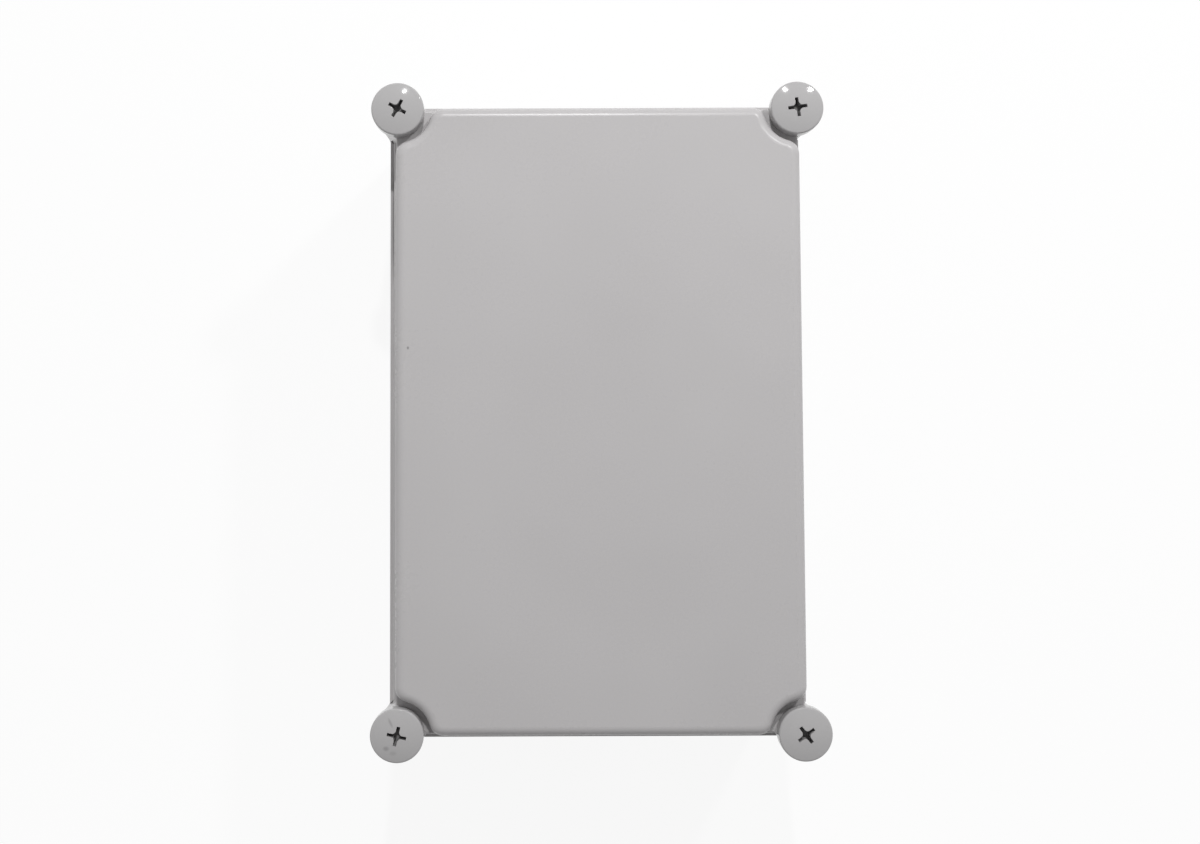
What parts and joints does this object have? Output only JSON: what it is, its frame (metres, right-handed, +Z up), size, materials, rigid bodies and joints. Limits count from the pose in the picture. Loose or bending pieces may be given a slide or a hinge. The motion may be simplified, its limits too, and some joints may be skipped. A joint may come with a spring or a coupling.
{
  "type": "plastic project box",
  "caption": "Deep grey plastic enclosure with a sealed screw-down lid, scooped corners with large captive cross-recess screws, board supports inside and wall fixing holes.",
  "frame": {"origin": "under the middle of the box, in the plane of its feet", "axes": "+Z up from the wall side to the lid, +Y along the length towards the rear, which is the top of the picture's lid view, +X across the width to the right"},
  "size_m": [0.189, 0.2804, 0.13],
  "materials": {
    "shell_plastic": "fine satin moulding",
    "screw_plastic": "smooth satin",
    "seal_rubber": "matt",
    "clip_plastic": "satin"
  },
  "bodies": {
    "base": {"base": "shell_plastic"},
    "lid": {"lid": "shell_plastic", "gasket": "seal_rubber"},
    "clip_front_left": {"clip_front_left": "clip_plastic"},
    "screw_front_left": {"screw_front_left": "screw_plastic"},
    "clip_front_right": {"clip_front_right": "clip_plastic"},
    "screw_front_right": {"screw_front_right": "screw_plastic"},
    "clip_rear_left": {"clip_rear_left": "clip_plastic"},
    "screw_rear_left": {"screw_rear_left": "screw_plastic"},
    "clip_rear_right": {"clip_rear_right": "clip_plastic"},
    "screw_rear_right": {"screw_rear_right": "screw_plastic"}
  },
  "joints": [
    {"name": "lid_lift", "type": "slide", "parent": "base", "child": "lid", "axis": [0, 0, 1], "range_m": [0, 0.06]},
    {"name": "rise_front_left", "type": "slide", "parent": "lid", "child": "clip_front_left", "axis": [0, 0, 1], "range_m": [0, 0.015]},
    {"name": "turn_front_left", "type": "hinge", "parent": "clip_front_left", "child": "screw_front_left", "pos_m": [-0.0835, -0.12925, 0.122], "axis": [0, 0, 1], "range_deg": [0, 1800]},
    {"name": "rise_front_right", "type": "slide", "parent": "lid", "child": "clip_front_right", "axis": [0, 0, 1], "range_m": [0, 0.015]},
    {"name": "turn_front_right", "type": "hinge", "parent": "clip_front_right", "child": "screw_front_right", "pos_m": [0.0835, -0.12925, 0.122], "axis": [0, 0, 1], "range_deg": [0, 1800]},
    {"name": "rise_rear_left", "type": "slide", "parent": "lid", "child": "clip_rear_left", "axis": [0, 0, 1], "range_m": [0, 0.015]},
    {"name": "turn_rear_left", "type": "hinge", "parent": "clip_rear_left", "child": "screw_rear_left", "pos_m": [-0.0835, 0.12925, 0.122], "axis": [0, 0, 1], "range_deg": [0, 1800]},
    {"name": "rise_rear_right", "type": "slide", "parent": "lid", "child": "clip_rear_right", "axis": [0, 0, 1], "range_m": [0, 0.015]},
    {"name": "turn_rear_right", "type": "hinge", "parent": "clip_rear_right", "child": "screw_rear_right", "pos_m": [0.0835, 0.12925, 0.122], "axis": [0, 0, 1], "range_deg": [0, 1800]}
  ],
  "couplings": [
    {"joint": "turn_front_left", "follows": "rise_front_left", "rad_per_m": 2094.4},
    {"joint": "turn_front_right", "follows": "rise_front_right", "rad_per_m": 2094.4},
    {"joint": "turn_rear_left", "follows": "rise_rear_left", "rad_per_m": 2094.4},
    {"joint": "turn_rear_right", "follows": "rise_rear_right", "rad_per_m": 2094.4}
  ]
}
